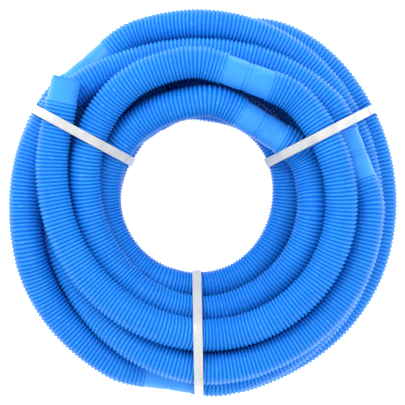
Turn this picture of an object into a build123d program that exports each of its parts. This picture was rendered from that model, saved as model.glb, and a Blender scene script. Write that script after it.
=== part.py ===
from build123d import *
import math
import os

# A pool vacuum hose, 12 m long, wound into a coil that lies flat and is held by three straps.
# The hose is corrugated, with a smooth double cuff every metre, where it can be cut to length.
# Millimetres, +Z up, origin on the floor under the middle of the coil's footprint.

# ------------------------------------------------------------------ hose and cuff sizes
HOSE_OD = 47.5            # over the crests of the corrugations
HOSE_WALL = 1.3           # plain wall with as much plastic in it as the corrugated one
CUFF_BORE = 38.0          # takes a 38 mm hose tail
CUFF_OD = 42.0
CUFF_LENGTH = 37.0        # from the mouth of a cuff to the first corrugation
COLLAR_LENGTH = 2.5       # the cuff's end ring, as wide as the hose
COLLAR_SLOPE = 2.0
LIP_LENGTH = 3.0          # reduced end of a cuff: half of the cutting groove between two cuffs
LIP_DEPTH = 0.5

# ------------------------------------------------------------------ strap sizes
STRAP_WIDTH = 13.0
STRAP_THICKNESS = 0.8
STRAP_PLAY = 1.2          # between a strap and the hose under it
LAP_BOTTOM = 30.0         # the welded overlap stands on the strap's outer side
LAP_TOP = 66.0
STRAP_OUTER_RADIUS = 280.0
STRAP_INNER_RADIUS = 110.0
STRAP_BEARINGS = ((28.6, 31.0), (150.8, 149.6), (269.3, 266.6))   # of its outer and inner end

# ------------------------------------------------------------------ lay of the coil
COIL_CENTRE = (-1.8, 1.3)
FIRST_ANGLE = 150         # where the free end leaves the coil
LAST_ANGLE = 3600
STATION = 15              # the turns are settled on each other every 15 degrees
LISTED = 30               # the radii below are 30 degrees apart, one row for each turn
TURN_RADII = (
    (234, 207, 193, 185.5, 188, 192.5, 197.5, 199, 198, 197, 197.5, 198),
    (182, 163, 154, 153.5, 156, 155, 157.5, 159, 155, 149.5, 141.5, 143),
    (143, 138, 132, 126, 122, 119.5, 118.5, 122.5, 133, 140, 137.5, 149),
    (152, 152, 156, 165, 170, 172, 172, 172, 172, 172, 172, 170),
    (163, 154, 147, 143, 142, 142, 142, 142, 142, 142, 146, 156),
    (175, 192, 203, 206, 206, 206, 206, 206, 206, 206, 208, 215),
    (226, 240, 249, 253, 253, 253, 257, 256, 258, 263, 246, 224),
    (212, 207, 209, 221, 236, 237, 239, 235, 228, 217, 210, 220),
    (249, 250, 259, 258, 254, 248, 241, 236, 238, 247, 253, 252),
    (252, 250, 253, 253, 244, 227, 210, 203),
)
INSIDE = ((1245, 2450), (2600, 2710), (3380, 3601))   # lengths hidden inside the bundle
INSIDE_RADII = (138.0, 253.0)                         # they stay between these
FROM_BOTTOM_UP = ((2400, 2640), (2010, 2400), (1650, 2010), (1290, 1650), (3215, 3601),
                  (2640, 2715), (3015, 3215), (2715, 3015), (150, 1290))
SETTLE_PASSES = 900
CALM_PASSES = 200         # the last passes only part what still overlaps
PARTINGS = 3              # rounds of parting in each pass
SINK = 0.6                # a pass lets every turn drop this far
STIFFNESS = 0.6
TURN_GAP = 2.0
HOLD_FIRM = 0.5           # how a visible length is held at its radius, and a hidden one
HOLD_LIGHT = 0.02

# ------------------------------------------------------------------ hose line
CUFF_ANGLES = (430, 774, 1211, 1542, 1920, 2192, 2425, 2647, 2897.5, 3139.7, 3369.5)
FREE_END_HEADING = 78.0   # the free end points away from the coil
FREE_END_LEAD = 24.0
CORNER_STEP = 12          # corners of the hose line, 30 for each turn
CUFF_LEAD = 20.0          # straight hose on each side of a cuff
CUFF_BEND = 25.0          # hose between the two bends that follow it
SWELL_SHARE = 0.2         # how much of a cuff's flat is made up outside the coil's round
ARC_SHARE = 0.45

HOSE_RADIUS = HOSE_OD / 2
REST_HEIGHT = STRAP_THICKNESS + STRAP_PLAY + HOSE_RADIUS


# ------------------------------------------------------------------ settling the coil
def listed_radius(angle):
    """Radius of the winding at an angle, by a Catmull-Rom curve through the listed ones."""
    radii = [radius for turn in TURN_RADII for radius in turn]
    place = (angle - FIRST_ANGLE) / LISTED
    left = min(int(place), len(radii) - 2)
    t = place - left
    b, c = radii[left], radii[left + 1]
    a = radii[left - 1] if left else 2 * b - c
    d = radii[min(left + 2, len(radii) - 1)]
    return b + 0.5 * t * (c - a + t * (2 * a - 5 * b + 4 * c - d + t * (3 * (b - c) + d - a)))


def layer(angle):
    """Sort key that lists the lengths from the bottom of the bundle up."""
    for rank, (start, end) in enumerate(FROM_BOTTOM_UP):
        if start <= angle < end:
            return rank, -angle
    raise ValueError(angle)


def is_inside(angle):
    return any(start <= angle <= end for start, end in INSIDE)


def stack(order, radii, reach):
    """First heights: each length is laid on those below it at the same station."""
    heights = [REST_HEIGHT] * len(radii)
    for crossing in order:
        for n, upper in enumerate(crossing):
            for lower in crossing[:n]:
                across = radii[upper] - radii[lower]
                if abs(across) < reach:
                    rise = math.sqrt(reach ** 2 - across ** 2)
                    heights[upper] = max(heights[upper], heights[lower] + rise)
    return heights


def part_pair(i, j, radii, heights, loose, reach):
    """Push two lengths that overlap apart, sideways only where a length is hidden."""
    across = radii[i] - radii[j]
    up = heights[i] - heights[j]
    distance = math.hypot(across, up)
    if distance >= reach:
        return
    push = 0.5 * (reach - distance) / distance
    heights[i] += push * up
    heights[j] -= push * up
    if loose[i]:
        radii[i] += push * across
    if loose[j]:
        radii[j] -= push * across


def cuff_span(cuff_angle):
    """Half the angle that a straightened cuff takes up, its outer bends' rise and its depth."""
    radius = listed_radius(cuff_angle)
    half_angle = math.degrees(math.asin((CUFF_LENGTH + CUFF_LEAD + CUFF_BEND) / radius))
    rise = CUFF_BEND * math.sin(math.radians(half_angle + CORNER_STEP / 2) / 2)
    depth = radius * (1 - math.cos(math.radians(half_angle))) - rise
    return half_angle, rise, depth


def cuff_stations(cuff_angle):
    """First and last station of the stretch that a double cuff keeps straight."""
    half_angle = cuff_span(cuff_angle)[0]
    first = round((cuff_angle - half_angle - FIRST_ANGLE) / STATION)
    last = round((cuff_angle + half_angle - FIRST_ANGLE) / STATION)
    return first, last


def straighten(values):
    """Bring each double cuff, and the hose beside it, onto the straight line nearest to it."""
    for first, last in CUFF_STATIONS:
        count = last - first + 1
        half = count // 2
        stretch = values[first:last + 1]
        mean = sum(stretch) / count
        slope = (sum(stretch[-half:]) - sum(stretch[:half])) / (half * (count - half))
        for i in range(count):
            values[first + i] = mean + slope * (i - (count - 1) / 2)


def ease(radii, heights, wanted, loose, drop):
    """Smooth the hose along its length, let it drop, and draw it to its listed radius."""
    old_radii = list(radii)
    old_heights = list(heights)
    for i in range(1, len(radii) - 1):
        heights[i] += STIFFNESS * ((old_heights[i - 1] + old_heights[i + 1]) / 2 - heights[i])
        if loose[i]:
            radii[i] += STIFFNESS * ((old_radii[i - 1] + old_radii[i + 1]) / 2 - radii[i])
    for i, is_loose in enumerate(loose):
        heights[i] -= drop
        radii[i] += (HOLD_LIGHT if is_loose else HOLD_FIRM) * (wanted[i] - radii[i])


def cuff_flat(angle):
    """How far the hose lies inside the coil's round where a cuff straightens it."""
    for cuff_angle in CUFF_ANGLES:
        half_angle, _, depth = cuff_span(cuff_angle)
        off = abs(angle - cuff_angle) / half_angle
        if off < 1:
            return depth * (1 - off ** 2 - SWELL_SHARE)
    return 0.0


def settle():
    """Radius and height of the hose line at every station, from the free end on."""
    angles = range(FIRST_ANGLE, LAST_ANGLE + 1, STATION)
    flats = [cuff_flat(angle) for angle in angles]
    wanted = [listed_radius(angle) for angle in angles]
    loose = [is_inside(angle) for angle in angles]
    reach = HOSE_OD + TURN_GAP
    per_turn = 360 // STATION
    crossings = [range(first, len(wanted), per_turn) for first in range(per_turn)]
    order = [sorted(crossing, key=lambda i: layer(angles[i])) for crossing in crossings]
    radii = list(wanted)
    heights = stack(order, radii, reach)
    for n in range(SETTLE_PASSES):
        if n < SETTLE_PASSES - CALM_PASSES:
            ease(radii, heights, wanted, loose, SINK)
        straighten(heights)
        straighten(radii)
        radii = [radius - flat for radius, flat in zip(radii, flats)]
        for parting in range(PARTINGS):
            for crossing in order:
                for m, i in enumerate(crossing):
                    for j in crossing[:m]:
                        part_pair(i, j, radii, heights, loose, reach)
            for i, height in enumerate(heights):
                heights[i] = max(height, REST_HEIGHT)
                if loose[i]:
                    radii[i] = min(max(radii[i], INSIDE_RADII[0]), INSIDE_RADII[1])
        radii = [radius + flat for radius, flat in zip(radii, flats)]
    return radii, heights


CUFF_STATIONS = [cuff_stations(cuff_angle) for cuff_angle in CUFF_ANGLES]
COIL_RADII, COIL_HEIGHTS = settle()


def coil_place(angle):
    """Radius and height of the settled hose line at any angle."""
    place = (angle - FIRST_ANGLE) / STATION
    left = min(int(place), len(COIL_RADII) - 2)
    t = place - left
    radius = COIL_RADII[left] + t * (COIL_RADII[left + 1] - COIL_RADII[left])
    height = COIL_HEIGHTS[left] + t * (COIL_HEIGHTS[left + 1] - COIL_HEIGHTS[left])
    return radius, height


def coil_point(angle):
    """Corner of the hose line, set out so that the rounded line keeps the coil's radius."""
    radius, height = coil_place(angle)
    radius /= math.cos(math.radians(CORNER_STEP / 2))
    turn = math.radians(angle)
    x = COIL_CENTRE[0] + radius * math.cos(turn)
    y = COIL_CENTRE[1] + radius * math.sin(turn)
    return Vector(x, y, height)


# ------------------------------------------------------------------ the hose line and its cuffs
def cuff_line(angle):
    """Two corners and the pair's end, then its other end and two corners, and the outer angles.

    The hose runs straight through the pair and bends more on each side of it, so the coil is a
    little flat there: the cuffs lie inside its round, the outer corners lie outside it.
    """
    half_angle, rise, depth = cuff_span(angle)
    swell = SWELL_SHARE * depth
    entry = coil_point(angle - half_angle)
    leave = coil_point(angle + half_angle)
    along = (leave - entry).normalized()
    outward = along.cross(Vector(0, 0, 1))
    middle = (entry + leave) / 2 + outward * (rise + swell)
    entry += outward * swell
    leave += outward * swell
    near = CUFF_LENGTH + CUFF_LEAD
    arriving = [entry, middle - along * near, middle - along * CUFF_LENGTH]
    leaving = [middle + along * CUFF_LENGTH, middle + along * near, leave]
    return arriving, leaving, angle - half_angle, angle + half_angle


def hose_runs():
    """Corners of the line of each corrugated run, from the free end's cuff to the hidden end's."""
    heading = math.radians(FREE_END_HEADING)
    aim = Vector(math.cos(heading), math.sin(heading), 0)
    first_corner = coil_point(FIRST_ANGLE)
    corners = [first_corner + aim * FREE_END_LEAD, first_corner]
    angle = FIRST_ANGLE
    runs = []
    for cuff_angle in CUFF_ANGLES:
        arriving, leaving, before, after = cuff_line(cuff_angle)
        runs.append(corners + bend_points(angle, before) + arriving)
        corners = leaving
        angle = after
    last_corner = coil_point(LAST_ANGLE)
    heading = math.radians(LAST_ANGLE + CORNER_STEP / 2)
    aim = Vector(-math.sin(heading), math.cos(heading), 0)
    runs.append(corners + bend_points(angle, LAST_ANGLE) + [last_corner, last_corner + aim * CUFF_LEAD])
    return runs


def bend_points(start, end):
    """Corners strictly between two angles, about CORNER_STEP apart."""
    count = max(round((end - start) / CORNER_STEP), 1)
    return [coil_point(start + (end - start) * n / count) for n in range(1, count)]


def arc_radii(corners):
    """Each arc is as large as the two straight runs beside it allow."""
    radii = []
    for before, here, after in zip(corners, corners[1:], corners[2:]):
        shorter = min((here - before).length, (after - here).length)
        turn = math.radians((here - before).get_angle(after - here))
        radii.append(ARC_SHARE * shorter / math.tan(turn / 2))
    return radii


# ------------------------------------------------------------------ solids
def hose_run(corners):
    """A plain tube along straight runs joined by tangent arcs, closed by a ring at each end."""
    path = FilletPolyline(*corners, radius=arc_radii(corners))
    start = Plane(origin=path @ 0, z_dir=path % 0)
    finish = Plane(origin=path @ 1, z_dir=path % 1)
    faces = []
    for radius in (HOSE_RADIUS, HOSE_RADIUS - HOSE_WALL):
        rod = sweep(start * Circle(radius), path=path)
        faces += [face for face in rod.faces() if face.geom_type != GeomType.PLANE]
    ring = Circle(HOSE_RADIUS) - Circle(HOSE_RADIUS - HOSE_WALL)
    for end in (start, finish):
        faces += (end * ring).faces()
    tube = Solid(Shell(faces))
    return tube, path.length


def cuff_profile():
    """Outline of one cuff, mouth at z = 0, as (radius, z) going away from the mouth."""
    bore = CUFF_BORE / 2
    body = CUFF_OD / 2
    collar = CUFF_LENGTH - COLLAR_LENGTH
    return [
        (body - LIP_DEPTH, 0),
        (body - LIP_DEPTH, LIP_LENGTH),
        (body, LIP_LENGTH),
        (body, collar - COLLAR_SLOPE),
        (HOSE_RADIUS, collar),
        (HOSE_RADIUS, CUFF_LENGTH),
        (bore, CUFF_LENGTH),
    ]


def turned(outline):
    """Solid of revolution about Z of an outline in (radius, z)."""
    wire = Polyline(*[(radius, 0, z) for radius, z in outline], close=True)
    return revolve(make_face(wire), Axis.Z)


def end_cuff():
    return turned(cuff_profile() + [(CUFF_BORE / 2, 0)])


def cuff_pair():
    one = cuff_profile()
    other = [(radius, -z) for radius, z in reversed(one)]
    return turned(other + one[1:])


def placed(solid, origin, direction):
    return Plane(origin=origin, z_dir=direction) * solid


def strap_places(foot, outwards):
    """Where the hose passes under a strap's middle and edges, as (distance out, height)."""
    across = outwards.cross(Vector(0, 0, 1))
    line = [corner for run in hose_runs() for corner in run]
    places = []
    for start, end in zip(line, line[1:]):
        before = (start - foot).dot(across)
        after = (end - foot).dot(across)
        for edge in (-STRAP_WIDTH / 2, 0, STRAP_WIDTH / 2):
            if min(before, after) <= edge < max(before, after):
                place = start + (end - start) * ((edge - before) / (after - before))
                places.append(((place - foot).dot(outwards), place.Z))
    return [place for place in places if place[0] > 0]


def strap(bearings):
    """A flat band drawn tight round the bundle, with its ends welded in a short lap."""
    outer_end = Vector(STRAP_OUTER_RADIUS, 0, 0).rotate(Axis.Z, bearings[0])
    inner_end = Vector(STRAP_INNER_RADIUS, 0, 0).rotate(Axis.Z, bearings[1])
    outwards = (outer_end - inner_end).normalized()
    centre = Vector(COIL_CENTRE[0], COIL_CENTRE[1], 0)
    foot = centre + inner_end - outwards * STRAP_INNER_RADIUS
    section = Plane(origin=foot, x_dir=outwards, z_dir=outwards.cross(Vector(0, 0, 1)))
    places = strap_places(foot, outwards)
    inner = wrapped(places, STRAP_PLAY)
    outer = wrapped(places, STRAP_PLAY + STRAP_THICKNESS)
    lapped = wrapped(places, STRAP_PLAY + 2 * STRAP_THICKNESS)
    side = max(radius for radius, height in places)
    lap_middle = (LAP_BOTTOM + LAP_TOP) / 2
    window = Pos(side + HOSE_RADIUS, lap_middle) * Rectangle(HOSE_OD, LAP_TOP - LAP_BOTTOM)
    profile = outer - inner + (lapped & window) - inner
    return extrude(section * profile, amount=STRAP_WIDTH / 2, both=True)


def wrapped(places, clearance):
    """Face inside a band that lies this far off the hose lengths that it goes round."""
    circles = [Pos(radius, height) * Circle(HOSE_RADIUS + clearance) for radius, height in places]
    return make_hull([edge for circle in circles for edge in circle.edges()])


# ------------------------------------------------------------------ build and write
def build():
    nodes = {}
    runs = hose_runs()
    for n, corners in enumerate(runs, 1):
        solid, length = hose_run(corners)
        nodes[f"hose_run_{n:02d}"] = solid
        section = math.pi * (HOSE_RADIUS ** 2 - (HOSE_RADIUS - HOSE_WALL) ** 2)
        ratio = solid.volume / (section * length)
        print(f"hose_run_{n:02d}: {length:.0f} mm, volume / (section x length) {ratio:.4f}")
        print("   arc radii", " ".join(f"{radius:.0f}" for radius in arc_radii(corners)))
    pair = cuff_pair()
    for n, (run, following) in enumerate(zip(runs, runs[1:]), 1):
        middle = (run[-1] + following[0]) / 2
        nodes[f"cuff_pair_{n:02d}"] = placed(pair, middle, following[0] - run[-1])
    first, last = runs[0], runs[-1]
    outward_a = (first[0] - first[1]).normalized()
    outward_b = (last[-1] - last[-2]).normalized()
    nodes["end_cuff_a"] = placed(end_cuff(), first[0] + outward_a * CUFF_LENGTH, -outward_a)
    nodes["end_cuff_b"] = placed(end_cuff(), last[-1] + outward_b * CUFF_LENGTH, -outward_b)
    mouth = first[0] + outward_a * CUFF_LENGTH
    print(f"mouth of end_cuff_a {mouth}, pointing {outward_a}")
    for n, bearings in enumerate(STRAP_BEARINGS, 1):
        nodes[f"strap_{n}"] = strap(bearings)
    return nodes


os.makedirs("parts", exist_ok=True)
NODES = build()
for name, solid in NODES.items():
    export_step(solid, f"parts/{name}.step")
box = Compound(children=list(NODES.values())).bounding_box()
print("box", box.min, box.max)
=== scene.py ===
import math

import bpy
import numpy as np
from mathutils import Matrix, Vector


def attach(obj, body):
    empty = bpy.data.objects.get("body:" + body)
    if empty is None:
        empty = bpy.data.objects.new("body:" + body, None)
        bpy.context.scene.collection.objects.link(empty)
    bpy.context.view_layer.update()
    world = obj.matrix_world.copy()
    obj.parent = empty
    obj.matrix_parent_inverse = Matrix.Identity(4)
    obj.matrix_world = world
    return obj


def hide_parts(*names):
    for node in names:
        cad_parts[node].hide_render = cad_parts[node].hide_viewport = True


# A pool vacuum hose, 12 m long, in a flat coil held by three straps. Metres, +Z up.
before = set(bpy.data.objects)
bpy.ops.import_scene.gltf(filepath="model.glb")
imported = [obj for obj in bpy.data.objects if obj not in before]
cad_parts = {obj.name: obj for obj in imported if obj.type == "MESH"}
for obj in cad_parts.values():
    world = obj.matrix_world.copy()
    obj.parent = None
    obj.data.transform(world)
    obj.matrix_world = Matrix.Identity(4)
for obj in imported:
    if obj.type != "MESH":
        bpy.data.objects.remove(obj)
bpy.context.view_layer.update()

MM = 0.001

# ------------------------------------------------------------------ hose, cuffs and straps
HOSE_OD = 47.5 * MM
HOSE_RADIUS = HOSE_OD / 2
CUFF_BORE = 38.0 * MM
CUFF_OD = 42.0 * MM
CUFF_LENGTH = 37.0 * MM
LIP_LENGTH = 3.0 * MM
LIP_DEPTH = 0.5 * MM
STRAP_WIDTH = 13.0 * MM
STRAP_THICKNESS = 0.8 * MM
STRAP_PLAY = 1.2 * MM
LAP_BOTTOM = 30.0 * MM
LAP_TOP = 66.0 * MM
STRAP_OUTER_RADIUS = 280.0 * MM
STRAP_INNER_RADIUS = 110.0 * MM
STRAP_BEARINGS = ((28.6, 31.0), (150.8, 149.6), (269.3, 266.6))

# ------------------------------------------------------------------ lay of the coil
COIL_CENTRE = (-1.8 * MM, 1.3 * MM)
FIRST_ANGLE = 150
LAST_ANGLE = 3600
STATION = 15
LISTED = 30
TURN_RADII = (            # millimetres, 30 degrees apart, one row for each turn
    (234, 207, 193, 185.5, 188, 192.5, 197.5, 199, 198, 197, 197.5, 198),
    (182, 163, 154, 153.5, 156, 155, 157.5, 159, 155, 149.5, 141.5, 143),
    (143, 138, 132, 126, 122, 119.5, 118.5, 122.5, 133, 140, 137.5, 149),
    (152, 152, 156, 165, 170, 172, 172, 172, 172, 172, 172, 170),
    (163, 154, 147, 143, 142, 142, 142, 142, 142, 142, 146, 156),
    (175, 192, 203, 206, 206, 206, 206, 206, 206, 206, 208, 215),
    (226, 240, 249, 253, 253, 253, 257, 256, 258, 263, 246, 224),
    (212, 207, 209, 221, 236, 237, 239, 235, 228, 217, 210, 220),
    (249, 250, 259, 258, 254, 248, 241, 236, 238, 247, 253, 252),
    (252, 250, 253, 253, 244, 227, 210, 203),
)
INSIDE = ((1245, 2450), (2600, 2710), (3380, 3601))   # lengths hidden inside the bundle
INSIDE_RADII = (138.0 * MM, 253.0 * MM)
FROM_BOTTOM_UP = ((2400, 2640), (2010, 2400), (1650, 2010), (1290, 1650), (3215, 3601),
                  (2640, 2715), (3015, 3215), (2715, 3015), (150, 1290))
SETTLE_PASSES = 900
CALM_PASSES = 200         # the last passes only part what still overlaps
PARTINGS = 3              # rounds of parting in each pass
SINK = 0.6 * MM
STIFFNESS = 0.6
TURN_GAP = 2.0 * MM
HOLD_FIRM = 0.5
HOLD_LIGHT = 0.02
REST_HEIGHT = STRAP_THICKNESS + STRAP_PLAY + HOSE_RADIUS

# ------------------------------------------------------------------ hose line
CUFF_ANGLES = (430, 774, 1211, 1542, 1920, 2192, 2425, 2647, 2897.5, 3139.7, 3369.5)
FREE_END_HEADING = 78.0
FREE_END_LEAD = 24.0 * MM
CORNER_STEP = 12
CUFF_LEAD = 20.0 * MM
CUFF_BEND = 25.0 * MM
SWELL_SHARE = 0.2
LINE_RESOLUTION = 24      # points of the smooth line for each corner

# ------------------------------------------------------------------ moulded detail
RIB_PITCH = 5.4 * MM
RIB_DEPTH = 2.4 * MM
RIB_SHAPE = 0.75          # under 1 the crests are broad and the grooves narrow
RIB_RINGS = 8
SOFT_RIBS = 3             # ribs beside a cuff are lower and their grooves shallower
SOFT_CREST = 0.8 * MM
SOFT_GROOVE = 0.7 * MM
AROUND = 40
CUFF_AROUND = 64
CUFF_RING = 0.25 * MM     # spacing of a cuff's rings
RINGS_PER_BORE_RING = 8   # the plain bore needs far fewer rings than the outside
CUFF_RING_WIDTH = 2.6 * MM
CUFF_RING_RISE = 1.7 * MM
CUFF_SWELL = 0.25 * MM    # a cuff is a little fuller in its middle
EDGE_SOFTNESS = 0.8 * MM
LINE_DEPTH = 0.9 * MM     # fine cutting line where a lip starts
LINE_WIDTH = 0.55 * MM
SEAM_HEIGHT = 0.18 * MM   # parting line of the blow mould, on two sides
STRAP_ARC = 120           # points round each length of hose that a strap goes round
STRAP_STEP = 0.6 * MM
STRAP_ROUND = 0.3 * MM    # rounding of a strap's edges
LAP_RAMP = 5.0 * MM       # length over which the outer end climbs onto the inner one
WELD_MARGIN = 8.0 * MM    # from each end of the lap to the welded patch
WELD_PITCH = 2.4 * MM
WELD_DEPTH = 0.12 * MM


# ------------------------------------------------------------------ settling the coil
def listed_radius(angle):
    """Radius of the winding at an angle, by a Catmull-Rom curve through the listed ones."""
    radii = [radius * MM for turn in TURN_RADII for radius in turn]
    place = (angle - FIRST_ANGLE) / LISTED
    left = min(int(place), len(radii) - 2)
    t = place - left
    b, c = radii[left], radii[left + 1]
    a = radii[left - 1] if left else 2 * b - c
    d = radii[min(left + 2, len(radii) - 1)]
    return b + 0.5 * t * (c - a + t * (2 * a - 5 * b + 4 * c - d + t * (3 * (b - c) + d - a)))


def layer(angle):
    """Sort key that lists the lengths from the bottom of the bundle up."""
    for rank, (start, end) in enumerate(FROM_BOTTOM_UP):
        if start <= angle < end:
            return rank, -angle
    raise ValueError(angle)


def is_inside(angle):
    return any(start <= angle <= end for start, end in INSIDE)


def stack(order, radii, reach):
    """First heights: each length is laid on those below it at the same station."""
    heights = [REST_HEIGHT] * len(radii)
    for crossing in order:
        for n, upper in enumerate(crossing):
            for lower in crossing[:n]:
                across = radii[upper] - radii[lower]
                if abs(across) < reach:
                    rise = math.sqrt(reach ** 2 - across ** 2)
                    heights[upper] = max(heights[upper], heights[lower] + rise)
    return heights


def part_pair(i, j, radii, heights, loose, reach):
    """Push two lengths that overlap apart, sideways only where a length is hidden."""
    across = radii[i] - radii[j]
    up = heights[i] - heights[j]
    distance = math.hypot(across, up)
    if distance >= reach:
        return
    push = 0.5 * (reach - distance) / distance
    heights[i] += push * up
    heights[j] -= push * up
    if loose[i]:
        radii[i] += push * across
    if loose[j]:
        radii[j] -= push * across


def cuff_span(cuff_angle):
    """Half the angle that a straightened cuff takes up, its outer bends' rise and its depth."""
    radius = listed_radius(cuff_angle)
    half_angle = math.degrees(math.asin((CUFF_LENGTH + CUFF_LEAD + CUFF_BEND) / radius))
    rise = CUFF_BEND * math.sin(math.radians(half_angle + CORNER_STEP / 2) / 2)
    depth = radius * (1 - math.cos(math.radians(half_angle))) - rise
    return half_angle, rise, depth


def cuff_stations(cuff_angle):
    """First and last station of the stretch that a double cuff keeps straight."""
    half_angle = cuff_span(cuff_angle)[0]
    first = round((cuff_angle - half_angle - FIRST_ANGLE) / STATION)
    last = round((cuff_angle + half_angle - FIRST_ANGLE) / STATION)
    return first, last


def straighten(values):
    """Bring each double cuff, and the hose beside it, onto the straight line nearest to it."""
    for first, last in CUFF_STATIONS:
        count = last - first + 1
        half = count // 2
        stretch = values[first:last + 1]
        mean = sum(stretch) / count
        slope = (sum(stretch[-half:]) - sum(stretch[:half])) / (half * (count - half))
        for i in range(count):
            values[first + i] = mean + slope * (i - (count - 1) / 2)


def ease(radii, heights, wanted, loose, drop):
    """Smooth the hose along its length, let it drop, and draw it to its listed radius."""
    old_radii = list(radii)
    old_heights = list(heights)
    for i in range(1, len(radii) - 1):
        heights[i] += STIFFNESS * ((old_heights[i - 1] + old_heights[i + 1]) / 2 - heights[i])
        if loose[i]:
            radii[i] += STIFFNESS * ((old_radii[i - 1] + old_radii[i + 1]) / 2 - radii[i])
    for i, is_loose in enumerate(loose):
        heights[i] -= drop
        radii[i] += (HOLD_LIGHT if is_loose else HOLD_FIRM) * (wanted[i] - radii[i])


def cuff_flat(angle):
    """How far the hose lies inside the coil's round where a cuff straightens it."""
    for cuff_angle in CUFF_ANGLES:
        half_angle, _, depth = cuff_span(cuff_angle)
        off = abs(angle - cuff_angle) / half_angle
        if off < 1:
            return depth * (1 - off ** 2 - SWELL_SHARE)
    return 0.0


def settle():
    """Radius and height of the hose line at every station, from the free end on."""
    angles = range(FIRST_ANGLE, LAST_ANGLE + 1, STATION)
    flats = [cuff_flat(angle) for angle in angles]
    wanted = [listed_radius(angle) for angle in angles]
    loose = [is_inside(angle) for angle in angles]
    reach = HOSE_OD + TURN_GAP
    per_turn = 360 // STATION
    crossings = [range(first, len(wanted), per_turn) for first in range(per_turn)]
    order = [sorted(crossing, key=lambda i: layer(angles[i])) for crossing in crossings]
    radii = list(wanted)
    heights = stack(order, radii, reach)
    for n in range(SETTLE_PASSES):
        if n < SETTLE_PASSES - CALM_PASSES:
            ease(radii, heights, wanted, loose, SINK)
        straighten(heights)
        straighten(radii)
        radii = [radius - flat for radius, flat in zip(radii, flats)]
        for parting in range(PARTINGS):
            for crossing in order:
                for m, i in enumerate(crossing):
                    for j in crossing[:m]:
                        part_pair(i, j, radii, heights, loose, reach)
            for i, height in enumerate(heights):
                heights[i] = max(height, REST_HEIGHT)
                if loose[i]:
                    radii[i] = min(max(radii[i], INSIDE_RADII[0]), INSIDE_RADII[1])
        radii = [radius + flat for radius, flat in zip(radii, flats)]
    return radii, heights


CUFF_STATIONS = [cuff_stations(cuff_angle) for cuff_angle in CUFF_ANGLES]
COIL_RADII, COIL_HEIGHTS = settle()


def coil_place(angle):
    """Radius and height of the settled hose line at any angle."""
    place = (angle - FIRST_ANGLE) / STATION
    left = min(int(place), len(COIL_RADII) - 2)
    t = place - left
    radius = COIL_RADII[left] + t * (COIL_RADII[left + 1] - COIL_RADII[left])
    height = COIL_HEIGHTS[left] + t * (COIL_HEIGHTS[left + 1] - COIL_HEIGHTS[left])
    return radius, height


def coil_point(angle):
    """Corner of the hose line, set out so that the rounded line keeps the coil's radius."""
    radius, height = coil_place(angle)
    radius /= math.cos(math.radians(CORNER_STEP / 2))
    turn = math.radians(angle)
    x = COIL_CENTRE[0] + radius * math.cos(turn)
    y = COIL_CENTRE[1] + radius * math.sin(turn)
    return Vector((x, y, height))


# ------------------------------------------------------------------ the hose line and its cuffs
def cuff_line(angle):
    """Two corners and the pair's end, then its other end and two corners, and the outer angles."""
    half_angle, rise, depth = cuff_span(angle)
    swell = SWELL_SHARE * depth
    entry = coil_point(angle - half_angle)
    leave = coil_point(angle + half_angle)
    along = (leave - entry).normalized()
    outward = along.cross(Vector((0, 0, 1)))
    middle = (entry + leave) / 2 + outward * (rise + swell)
    entry = entry + outward * swell
    leave = leave + outward * swell
    near = CUFF_LENGTH + CUFF_LEAD
    arriving = [entry, middle - along * near, middle - along * CUFF_LENGTH]
    leaving = [middle + along * CUFF_LENGTH, middle + along * near, leave]
    return arriving, leaving, angle - half_angle, angle + half_angle


def hose_runs():
    """Corners of the line of each corrugated run, from the free end's cuff to the hidden end's."""
    heading = math.radians(FREE_END_HEADING)
    aim = Vector((math.cos(heading), math.sin(heading), 0))
    first_corner = coil_point(FIRST_ANGLE)
    corners = [first_corner + aim * FREE_END_LEAD, first_corner]
    angle = FIRST_ANGLE
    runs = []
    for cuff_angle in CUFF_ANGLES:
        arriving, leaving, before, after = cuff_line(cuff_angle)
        runs.append(corners + bend_points(angle, before) + arriving)
        corners = leaving
        angle = after
    last_corner = coil_point(LAST_ANGLE)
    heading = math.radians(LAST_ANGLE + CORNER_STEP / 2)
    aim = Vector((-math.sin(heading), math.cos(heading), 0))
    runs.append(corners + bend_points(angle, LAST_ANGLE) + [last_corner, last_corner + aim * CUFF_LEAD])
    return runs


def bend_points(start, end):
    """Corners strictly between two angles, about CORNER_STEP apart."""
    count = max(round((end - start) / CORNER_STEP), 1)
    return [coil_point(start + (end - start) * n / count) for n in range(1, count)]


def smooth_line(corners):
    """Points along the NURBS line that has these corners as its control points."""
    curve = bpy.data.curves.new("hose_line", "CURVE")
    curve.dimensions = "3D"
    curve.resolution_u = LINE_RESOLUTION
    spline = curve.splines.new("NURBS")
    spline.points.add(len(corners) - 1)
    for point, corner in zip(spline.points, corners):
        point.co = (*corner, 1)
    spline.order_u = 3
    spline.use_endpoint_u = True
    holder = bpy.data.objects.new("hose_line", curve)
    mesh = bpy.data.meshes.new_from_object(holder)
    points = np.array([vertex.co[:] for vertex in mesh.vertices])
    bpy.data.objects.remove(holder)
    bpy.data.meshes.remove(mesh)
    bpy.data.curves.remove(curve)
    return points


# ------------------------------------------------------------------ meshes
def rings_mesh(name, rings, closed=False):
    """Object of a grid of rings, closed from its last ring to its first or by a face at each end."""
    rows, columns = rings.shape[:2]
    index = np.arange(rows * columns).reshape(rows, columns)
    here, there = (index, np.roll(index, -1, axis=0)) if closed else (index[:-1], index[1:])
    quads = np.stack([here, np.roll(here, -1, axis=1), np.roll(there, -1, axis=1), there], axis=-1)
    faces = quads.reshape(-1, 4).tolist()
    if not closed:
        faces += [index[0, ::-1].tolist(), index[-1].tolist()]
    mesh = bpy.data.meshes.new(name)
    mesh.from_pydata(rings.reshape(-1, 3).tolist(), [], faces)
    mesh.shade_smooth()
    mesh.update()
    piece = bpy.data.objects.new(name, mesh)
    bpy.context.scene.collection.objects.link(piece)
    return piece


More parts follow.
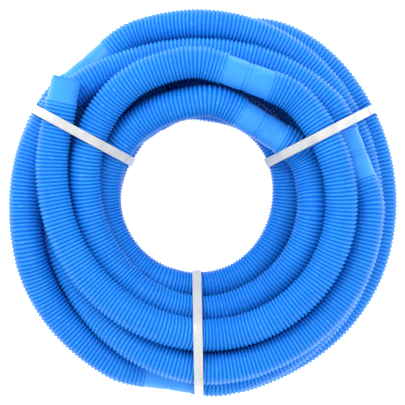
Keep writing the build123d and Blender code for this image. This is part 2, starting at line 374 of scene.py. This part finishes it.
def circles(centres, tangents, radii, around):
    """Rings of points round each centre, square to its tangent, level at their first point."""
    up = np.array([0.0, 0.0, 1.0])
    side = np.cross(tangents, up)
    side /= np.linalg.norm(side, axis=1, keepdims=True)
    rise = np.cross(side, tangents)
    turn = np.linspace(0, 2 * math.pi, around, endpoint=False)
    spread = np.cos(turn)[None, :, None] * side[:, None, :] + np.sin(turn)[None, :, None] * rise[:, None, :]
    return centres[:, None, :] + radii[:, :, None] * spread


def along_line(points, places):
    """Places and directions on a line at these distances from its start."""
    steps = np.linalg.norm(np.diff(points, axis=0), axis=1)
    reached = np.concatenate([[0], np.cumsum(steps)])
    centres = np.stack([np.interp(places, reached, points[:, k]) for k in range(3)], axis=1)
    slopes = np.gradient(points, reached, axis=0)
    tangents = np.stack([np.interp(places, reached, slopes[:, k]) for k in range(3)], axis=1)
    tangents /= np.linalg.norm(tangents, axis=1, keepdims=True)
    return centres, tangents


def line_length(points):
    return float(np.linalg.norm(np.diff(points, axis=0), axis=1).sum())


def eased(value, start, end):
    """0 before start, 1 after end and a smooth step between them."""
    t = np.clip((value - start) / (end - start), 0, 1)
    return t * t * (3 - 2 * t)


def hose_mesh(name, points):
    """A corrugated tube with a smooth bore, with the height of its ribs kept as an attribute."""
    length = line_length(points)
    ribs = round(length / RIB_PITCH)
    places = np.linspace(0, length, ribs * RIB_RINGS + 1)
    count = places / length * ribs
    crest = (0.5 - 0.5 * np.cos(2 * math.pi * count)) ** RIB_SHAPE
    softness = 1 - eased(np.minimum(count, ribs - count), 0, SOFT_RIBS)
    groove_radius = HOSE_RADIUS - RIB_DEPTH + SOFT_GROOVE * softness
    crest_radius = HOSE_RADIUS - SOFT_CREST * softness
    outer = groove_radius + (crest_radius - groove_radius) * crest
    back = places[::-2 * RIB_RINGS]
    inner = np.full(len(back), CUFF_BORE / 2)
    stations = np.concatenate([places, back])
    centres, tangents = along_line(points, stations)
    radii = np.repeat(np.concatenate([outer, inner])[:, None], AROUND, axis=1)
    piece = rings_mesh(name, circles(centres, tangents, radii, AROUND), closed=True)
    heights = np.concatenate([crest, np.zeros(len(back))])
    # the rib height also sets the painted shade in the grooves and where the crests are scuffed
    attribute = piece.data.attributes.new("crest", "FLOAT", "POINT")
    attribute.data.foreach_set("value", np.repeat(heights, AROUND))
    return piece


def cuff_radius(place):
    """Outer radius of a cuff at a distance from its mouth."""
    body = CUFF_OD / 2 + CUFF_SWELL * np.sin(math.pi * place / CUFF_LENGTH)
    lip = LIP_DEPTH * (1 - eased(place, LIP_LENGTH - EDGE_SOFTNESS / 2, LIP_LENGTH + EDGE_SOFTNESS / 2))
    cutting_line = LINE_DEPTH * np.exp(-((place - LIP_LENGTH) / LINE_WIDTH) ** 2)
    ring_start = CUFF_LENGTH - CUFF_RING_WIDTH
    ring = CUFF_RING_RISE * eased(place, ring_start - EDGE_SOFTNESS, ring_start + EDGE_SOFTNESS)
    ring -= SOFT_GROOVE * eased(place, CUFF_LENGTH - EDGE_SOFTNESS, CUFF_LENGTH)
    return body - lip - cutting_line + ring


def seamed(radii):
    """Give rings the mould's two parting lines, on the sides."""
    radii = np.repeat(radii[:, None], CUFF_AROUND, axis=1)
    for column in (0, CUFF_AROUND // 2):
        radii[:, column] += SEAM_HEIGHT
    return radii


def cuff_mesh(name, middle, along, is_pair):
    """A cuff from its mouth, or two cuffs mouth to mouth, turned about the hose line."""
    count = round(CUFF_LENGTH / CUFF_RING)
    places = np.linspace(0, CUFF_LENGTH, count + 1)
    if is_pair:
        places = np.concatenate([-places[:0:-1], places])
    outer = cuff_radius(np.abs(places))
    inner_places = np.linspace(places[-1], places[0], count // RINGS_PER_BORE_RING)
    inner = np.full(len(inner_places), CUFF_BORE / 2)
    stations = np.concatenate([places, inner_places])
    centres = np.array(middle)[None, :] + stations[:, None] * np.array(along)[None, :]
    tangents = np.repeat(np.array(along)[None, :], len(stations), axis=0)
    radii = np.concatenate([seamed(outer), np.repeat(inner[:, None], CUFF_AROUND, axis=1)])
    return rings_mesh(name, circles(centres, tangents, radii, CUFF_AROUND), closed=True)


# ------------------------------------------------------------------ straps
def hull(points):
    """Convex outline of points in a plane, anticlockwise."""
    points = sorted(set(points))
    outline = []
    for ordered in (points, points[::-1]):
        chain = []
        for x, y in ordered:
            while len(chain) > 1:
                (ax, ay), (bx, by) = chain[-2:]
                if (bx - ax) * (y - ay) - (by - ay) * (x - ax) > 0:
                    break
                chain.pop()
            chain.append((x, y))
        outline += chain[:-1]
    return outline


def strap_loop(places):
    """Evenly spaced places and outward directions, as (distance out, height), round the hose."""
    reach = HOSE_RADIUS + STRAP_PLAY
    turns = [2 * math.pi * n / STRAP_ARC for n in range(STRAP_ARC)]
    rim = [(radius + reach * math.cos(turn), height + reach * math.sin(turn))
           for radius, height in places for turn in turns]
    corners = hull(rim)
    corners = np.array(corners + corners[:1])
    marks = np.concatenate([[0], np.cumsum(np.linalg.norm(np.diff(corners, axis=0), axis=1))])
    reached = np.linspace(0, marks[-1], round(marks[-1] / STRAP_STEP), endpoint=False)
    loop = np.stack([np.interp(reached, marks, corners[:, k]) for k in range(2)], axis=1)
    forward = np.roll(loop, -1, axis=0) - np.roll(loop, 1, axis=0)
    outward = np.stack([forward[:, 1], -forward[:, 0]], axis=1)
    return loop, outward / np.linalg.norm(outward, axis=1, keepdims=True)


def strap_line(places):
    """Line of a strap from its inner end, once round and over that end again to its outer end."""
    loop, outward = strap_loop(places)
    on_outer_side = outward[:, 0] > math.sqrt(0.5)
    start = np.argmin(np.where(on_outer_side, abs(loop[:, 1] - LAP_BOTTOM), 1))
    loop = np.roll(loop, -start, axis=0)
    outward = np.roll(outward, -start, axis=0)
    lap = np.count_nonzero(loop[:len(loop) // 4, 1] < LAP_TOP)
    line = np.concatenate([loop, loop[:lap]])
    outward = np.concatenate([outward, outward[:lap]])
    reached = STRAP_STEP * np.arange(len(line))
    lap_start = STRAP_STEP * len(loop)
    climb = STRAP_THICKNESS * eased(reached, lap_start - LAP_RAMP, lap_start)
    in_weld = (reached > lap_start + WELD_MARGIN) & (reached < reached[-1] - WELD_MARGIN)
    dents = WELD_DEPTH * in_weld * np.sin(math.pi * reached / WELD_PITCH) ** 2
    return line + outward * climb[:, None], outward, dents


def strap_section():
    """Outline of a strap, as (across, thickness), with its four edges rounded."""
    outline = []
    for side, top, first in ((1, 0, -90), (1, 1, 0), (-1, 1, 90), (-1, 0, 180)):
        centre_across = side * (STRAP_WIDTH / 2 - STRAP_ROUND)
        centre_height = STRAP_THICKNESS - STRAP_ROUND if top else STRAP_ROUND
        for turn in (first, first + 45, first + 90):
            angle = math.radians(turn)
            outline.append((centre_across + STRAP_ROUND * math.cos(angle),
                            centre_height + STRAP_ROUND * math.sin(angle)))
    return outline


def strap_places(foot, outwards):
    """Where the hose passes under a strap's middle and edges, as (distance out, height)."""
    across = outwards.cross(Vector((0, 0, 1)))
    line = [corner for run in hose_runs() for corner in run]
    places = []
    for start, end in zip(line, line[1:]):
        before = (start - foot).dot(across)
        after = (end - foot).dot(across)
        for edge in (-STRAP_WIDTH / 2, 0, STRAP_WIDTH / 2):
            if min(before, after) <= edge < max(before, after):
                place = start + (end - start) * ((edge - before) / (after - before))
                places.append(((place - foot).dot(outwards), place.z))
    return [place for place in places if place[0] > 0]


def strap_mesh(name, bearings):
    """A flat band drawn tight round the bundle, with its ends welded in a short lap."""
    ends = []
    for reach, bearing in zip((STRAP_OUTER_RADIUS, STRAP_INNER_RADIUS), bearings):
        turn = math.radians(bearing)
        ends.append(Vector((reach * math.cos(turn), reach * math.sin(turn), 0)))
    outwards = (ends[0] - ends[1]).normalized()
    foot = Vector((*COIL_CENTRE, 0)) + ends[1] - outwards * STRAP_INNER_RADIUS
    width = np.array(outwards.cross(Vector((0, 0, 1))))
    line, outward, dents = strap_line(strap_places(foot, outwards))
    plane = np.array([outwards, (0, 0, 1)])
    rings = []
    for base, out, dent in zip(line @ plane + np.array(foot), outward @ plane, dents):
        rings.append([base + width * across + out * (depth - dent * (depth > STRAP_THICKNESS / 2))
                      for across, depth in strap_section()])
    piece = rings_mesh(name, np.array(rings))
    map_strap(piece, len(line))
    return piece


def map_strap(piece, rows):
    """UV map in metres: along the strap and across it."""
    across = [place for place, _ in strap_section()]
    uvs = [(STRAP_STEP * row, place) for row in range(rows) for place in across]
    layer_map = piece.data.uv_layers.new(name="strap")
    for loop in piece.data.loops:
        layer_map.data[loop.index].uv = uvs[loop.vertex_index]


# ------------------------------------------------------------------ materials
HOSE_BLUE = (0.021, 0.305, 0.74, 1)
HOSE_DEEP = (0.017, 0.260, 0.70, 1)
# painted shade: a darker blue that stands for the shade that falls in the hose's grooves
GROOVE_SHADE_BLUE = (0.004, 0.120, 0.68, 1)
CUFF_BLUE = (0.040, 0.300, 0.84, 1)
CUFF_DEEP = (0.032, 0.262, 0.80, 1)
SCUFF_BLUE = (0.070, 0.400, 0.86, 1)
STRAP_WHITE = (0.58, 0.58, 0.57, 1)
STRAP_GREY = (0.50, 0.50, 0.50, 1)


def add_node(tree, kind, **inputs):
    """Add a shader node and set or link its inputs, which are given by name."""
    made = tree.nodes.new("ShaderNode" + kind)
    for name, value in inputs.items():
        socket = made.inputs[name.replace("_", " ")]
        if isinstance(value, bpy.types.NodeSocket):
            tree.links.new(value, socket)
        else:
            socket.default_value = value
    return made


def new_material(name):
    """An empty material, its node tree and its place in the object's own space."""
    made = bpy.data.materials.new(name)
    made.use_nodes = True
    made.node_tree.nodes.clear()
    return made, made.node_tree, add_node(made.node_tree, "TexCoord").outputs["Object"]


def noise(tree, place, scale, detail, low, high):
    """Noise between two of its values, spread over 0 to 1."""
    texture = add_node(tree, "TexNoise", Vector=place, Scale=scale, Detail=detail)
    spread = add_node(tree, "MapRange", Value=texture.outputs["Fac"], From_Min=low, From_Max=high)
    return spread.outputs["Result"]


def mix(tree, share, first, second):
    return add_node(tree, "MixRGB", Fac=share, Color1=first, Color2=second).outputs["Color"]


def product(tree, first, second):
    made = add_node(tree, "Math")
    made.operation = "MULTIPLY"
    for socket, value in zip(made.inputs, (first, second)):
        tree.links.new(value, socket)
    return made.outputs["Value"]


def between(tree, share, low, high):
    return add_node(tree, "MapRange", Value=share, To_Min=low, To_Max=high).outputs["Result"]


def bump(tree, height, distance, strength=1.0, **under):
    made = add_node(tree, "Bump", Height=height, Distance=distance, Strength=strength, **under)
    return made.outputs["Normal"]


def surface(tree, **inputs):
    shader = add_node(tree, "BsdfPrincipled", **inputs)
    output = tree.nodes.new("ShaderNodeOutputMaterial")
    tree.links.new(shader.outputs["BSDF"], output.inputs["Surface"])


def hose_plastic():
    """Blown polyethylene: painted shade in the grooves (a deeper blue where the ribs are low), scuffed on
    the crests, a fine moulded skin.
    """
    made, tree, place = new_material("hose_plastic")
    crest = tree.nodes.new("ShaderNodeAttribute")
    crest.attribute_name = "crest"
    crest = crest.outputs["Fac"]
    body = mix(tree, noise(tree, place, 16, 3, 0.35, 0.65), HOSE_BLUE, HOSE_DEEP)
    # painted shade: the hose turns to the darker groove blue as its rib height falls, where shade would lie
    groove_shaded = mix(tree, crest, GROOVE_SHADE_BLUE, body)
    scuffs = product(tree, noise(tree, place, 170, 8, 0.60, 0.74), crest)
    colour = mix(tree, scuffs, groove_shaded, SCUFF_BLUE)
    skin = bump(tree, noise(tree, place, 1400, 3, 0.3, 0.7), 0.04 * MM, 0.5)
    waves = bump(tree, noise(tree, place, 60, 2, 0.3, 0.7), 0.5 * MM, 0.35, Normal=skin)
    surface(tree, Base_Color=colour, Roughness=between(tree, scuffs, 0.38, 0.55), IOR=1.5,
            Specular_IOR_Level=0.15, Normal=waves)
    return made


def cuff_plastic():
    """Moulded EVA: smooth and slightly uneven, with faint handling marks."""
    made, tree, place = new_material("cuff_plastic")
    body = mix(tree, noise(tree, place, 24, 3, 0.35, 0.65), CUFF_BLUE, CUFF_DEEP)
    marks = noise(tree, place, 230, 9, 0.62, 0.76)
    colour = mix(tree, marks, body, SCUFF_BLUE)
    skin = bump(tree, noise(tree, place, 1800, 3, 0.3, 0.7), 0.02 * MM, 0.4)
    waves = bump(tree, noise(tree, place, 45, 2, 0.3, 0.7), 0.9 * MM, 0.5, Normal=skin)
    surface(tree, Base_Color=colour, Roughness=between(tree, marks, 0.34, 0.5), IOR=1.5,
            Specular_IOR_Level=0.2, Normal=waves)
    return made


def strap_plastic():
    """White polypropylene strapping with an embossed waffle grain, a little soiled."""
    made, tree, place = new_material("strap_plastic")
    mapped = add_node(tree, "UVMap")
    mapped.uv_map = "strap"
    waves = []
    for direction in ("X", "Y"):
        wave = add_node(tree, "TexWave", Vector=mapped.outputs["UV"], Scale=190.0)
        wave.bands_direction = direction
        waves.append(wave.outputs["Fac"])
    waffle = product(tree, *waves)
    soil = noise(tree, place, 55, 6, 0.45, 0.75)
    colour = mix(tree, soil, STRAP_WHITE, STRAP_GREY)
    surface(tree, Base_Color=colour, Roughness=between(tree, soil, 0.38, 0.55), IOR=1.49,
            Subsurface_Weight=0.15, Subsurface_Scale=1.0 * MM, Normal=bump(tree, waffle, 0.08 * MM, 0.6))
    return made


# ------------------------------------------------------------------ stage, light and camera
VIEW_CENTRE = (-0.4 * MM, 1.3 * MM, 150 * MM)
VIEW_WIDTH = 575 * MM
SENSOR = 36.0
LENS = 1200.0
STAGE_SIZE = 200.0
STAGE_WHITE = (0.90, 0.90, 0.90, 1)
STAGE_GLOW = 0.8
SKY_STRENGTH = 1.12
LIGHTS = (                # name, place, size, watts
    ("key", (-1.3, 1.9, 2.4), 1.4, 52.0),
    ("fill", (1.9, -1.2, 2.2), 2.0, 14.0),
)


def add_stage():
    half = STAGE_SIZE / 2
    mesh = bpy.data.meshes.new("stage_floor")
    corners = [(-half, -half, 0), (half, -half, 0), (half, half, 0), (-half, half, 0)]
    mesh.from_pydata(corners, [], [(0, 1, 2, 3)])
    floor = bpy.data.objects.new("stage_floor", mesh)
    bpy.context.scene.collection.objects.link(floor)
    made, tree, _ = new_material("stage_white")
    surface(tree, Base_Color=STAGE_WHITE, Roughness=0.9,
            Emission_Color=(1, 1, 1, 1), Emission_Strength=STAGE_GLOW)
    mesh.materials.append(made)


def add_lights():
    world = bpy.data.worlds.new("sky")
    world.use_nodes = True
    background = world.node_tree.nodes["Background"]
    background.inputs["Color"].default_value = (0.97, 0.985, 1.0, 1)
    background.inputs["Strength"].default_value = SKY_STRENGTH
    bpy.context.scene.world = world
    for name, place, size, watts in LIGHTS:
        light = bpy.data.lights.new(name, "AREA")
        light.size = size
        light.energy = watts
        lamp = bpy.data.objects.new(name, light)
        lamp.location = place
        lamp.rotation_euler = (Vector(VIEW_CENTRE) - Vector(place)).to_track_quat("-Z", "Y").to_euler()
        lamp.visible_camera = False
        bpy.context.scene.collection.objects.link(lamp)


def add_camera():
    """Straight down from far off, so that the coil is seen flat."""
    data = bpy.data.cameras.new("camera")
    data.sensor_width = SENSOR
    data.lens = LENS
    distance = VIEW_WIDTH * LENS / SENSOR
    data.clip_end = 2 * distance
    camera = bpy.data.objects.new("camera", data)
    camera.location = Vector(VIEW_CENTRE) + Vector((0, 0, distance))
    bpy.context.scene.collection.objects.link(camera)
    bpy.context.scene.camera = camera
    bpy.context.scene.view_settings.view_transform = "Standard"


# ------------------------------------------------------------------ the object
def stand_for(piece, node, finish):
    piece.data.materials.append(finish)
    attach(piece, "root")
    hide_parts(node)


def add_hose():
    finish = hose_plastic()
    for n, corners in enumerate(hose_runs(), 1):
        points = smooth_line(corners)
        piece = hose_mesh(f"corrugated_run_{n:02d}", points)
        stand_for(piece, f"hose_run_{n:02d}", finish)


def add_cuffs():
    finish = cuff_plastic()
    runs = hose_runs()
    for n, (run, following) in enumerate(zip(runs, runs[1:]), 1):
        middle = (run[-1] + following[0]) / 2
        piece = cuff_mesh(f"double_cuff_{n:02d}", middle, (following[0] - run[-1]).normalized(), True)
        stand_for(piece, f"cuff_pair_{n:02d}", finish)
    ends = (("a", runs[0][0], runs[0][1]), ("b", runs[-1][-1], runs[-1][-2]))
    for name, end, before in ends:
        outward = (end - before).normalized()
        piece = cuff_mesh(f"open_cuff_{name}", end + outward * CUFF_LENGTH, -outward, False)
        stand_for(piece, f"end_cuff_{name}", finish)


def add_straps():
    finish = strap_plastic()
    for n, bearings in enumerate(STRAP_BEARINGS, 1):
        stand_for(strap_mesh(f"packing_strap_{n}", bearings), f"strap_{n}", finish)


add_camera()
add_hose()
add_cuffs()
add_straps()
add_stage()
add_lights()
